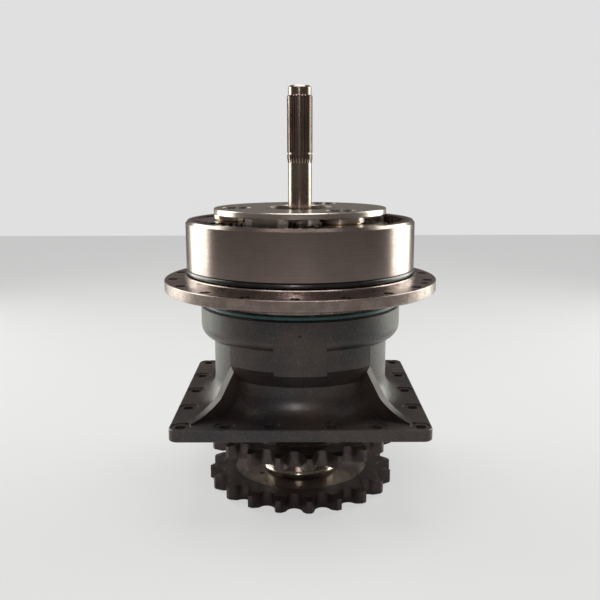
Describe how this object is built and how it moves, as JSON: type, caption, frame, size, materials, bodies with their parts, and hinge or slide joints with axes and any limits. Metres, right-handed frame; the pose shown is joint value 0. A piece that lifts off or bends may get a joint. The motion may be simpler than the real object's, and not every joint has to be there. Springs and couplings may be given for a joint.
{
  "type": "planetary final drive",
  "caption": "Planetary final drive: splined input shaft, ring gear, round axle flange, pivoting cast housing with a square bolted flange, and a chain sprocket with separate tooth rows.",
  "frame": {"origin": "middle of the square flange's lower face, on the drive axis", "axes": "+Z along the drive axis towards the input shaft, -Y towards the side with the cast pad, +X to the right seen from that side"},
  "size_m": [0.5019, 0.502, 0.7406],
  "materials": {
    "cast_housing": "rough cast with a thin dark oil film",
    "flange_steel": "turned",
    "ring_gear_steel": "ground, lightly oiled",
    "gear_steel": "hardened and ground",
    "seal_rubber": "satin",
    "thrust_composite": "machined",
    "bearing_bronze": "machined",
    "bearing_steel": "ground",
    "pressed_steel": "satin",
    "carrier_steel": "turned",
    "pin_steel": "ground",
    "shaft_steel": "turned and hardened",
    "clamp_steel": "turned",
    "bolt_steel": "black oxide",
    "sprocket_steel": "flame cut and machined, oiled",
    "hub_steel": "turned"
  },
  "bodies": {
    "axle_end": {"axle_flange": "flange_steel", "ring_gear": "ring_gear_steel", "ring_gear_dowels": "pin_steel", "ring_gear_seal": "seal_rubber", "upper_bearing_cup": "bearing_steel", "lower_bearing_cup": "bearing_steel", "spindle_retainer": "clamp_steel", "retainer_bolts": "bolt_steel", "output_seal": "seal_rubber"},
    "pivot_housing_body": {"pivot_housing": "cast_housing", "upper_pivot_bush": "bearing_bronze", "lower_pivot_bush": "bearing_bronze", "upper_thrust_ring": "thrust_composite", "lower_thrust_ring": "thrust_composite", "pivot_seal": "seal_rubber", "grease_plug": "bolt_steel"},
    "carrier_and_sprocket": {"planet_carrier": "carrier_steel", "pin_snap_rings": "pressed_steel", "output_shaft": "shaft_steel", "bearing_spacer": "shaft_steel", "carrier_retainer": "clamp_steel", "carrier_bolts": "bolt_steel", "upper_bearing_cone": "bearing_steel", "lower_bearing_cone": "bearing_steel", "upper_bearing_rollers": "bearing_steel", "lower_bearing_rollers": "bearing_steel", "upper_bearing_cage": "pressed_steel", "lower_bearing_cage": "pressed_steel", "sprocket_hub": "hub_steel", "upper_sprocket_ring": "sprocket_steel", "lower_sprocket_ring": "sprocket_steel", "sprocket_retainer": "clamp_steel", "sprocket_bolts": "bolt_steel", "planet_pin_1": "pin_steel", "planet_rollers_1": "bearing_steel", "planet_washers_1": "bearing_bronze", "planet_pin_2": "pin_steel", "planet_rollers_2": "bearing_steel", "planet_washers_2": "bearing_bronze", "planet_pin_3": "pin_steel", "planet_rollers_3": "bearing_steel", "planet_washers_3": "bearing_bronze"},
    "planet_1": {"planet_gear_1": "gear_steel"},
    "planet_2": {"planet_gear_2": "gear_steel"},
    "planet_3": {"planet_gear_3": "gear_steel"},
    "sun_and_shaft": {"sun_shaft": "shaft_steel", "sun_gear": "gear_steel", "sun_snap_rings": "pressed_steel"}
  },
  "joints": [
    {"name": "housing_swing", "type": "hinge", "parent": "axle_end", "child": "pivot_housing_body", "pos_m": [0, 0, 0.11], "axis": [0, 0, 1], "range_deg": [-18, 18]},
    {"name": "carrier_spin", "type": "hinge", "parent": "axle_end", "child": "carrier_and_sprocket", "pos_m": [0, 0, 0.11], "axis": [0, 0, 1], "continuous": true},
    {"name": "sun_spin", "type": "hinge", "parent": "axle_end", "child": "sun_and_shaft", "pos_m": [0, 0, 0.4], "axis": [0, 0, 1], "continuous": true},
    {"name": "planet_1_spin", "type": "hinge", "parent": "carrier_and_sprocket", "child": "planet_1", "pos_m": [0.07041, -0.09344, 0.3118], "axis": [0, 0, 1], "continuous": true},
    {"name": "planet_2_spin", "type": "hinge", "parent": "carrier_and_sprocket", "child": "planet_2", "pos_m": [0.04572, 0.1077, 0.3118], "axis": [0, 0, 1], "continuous": true},
    {"name": "planet_3_spin", "type": "hinge", "parent": "carrier_and_sprocket", "child": "planet_3", "pos_m": [-0.11613, -0.01426, 0.3118], "axis": [0, 0, 1], "continuous": true}
  ],
  "couplings": [
    {"joint": "sun_spin", "follows": "carrier_spin", "ratio": 5.5714},
    {"joint": "planet_1_spin", "follows": "carrier_spin", "ratio": -2.56},
    {"joint": "planet_2_spin", "follows": "carrier_spin", "ratio": -2.56},
    {"joint": "planet_3_spin", "follows": "carrier_spin", "ratio": -2.56}
  ]
}
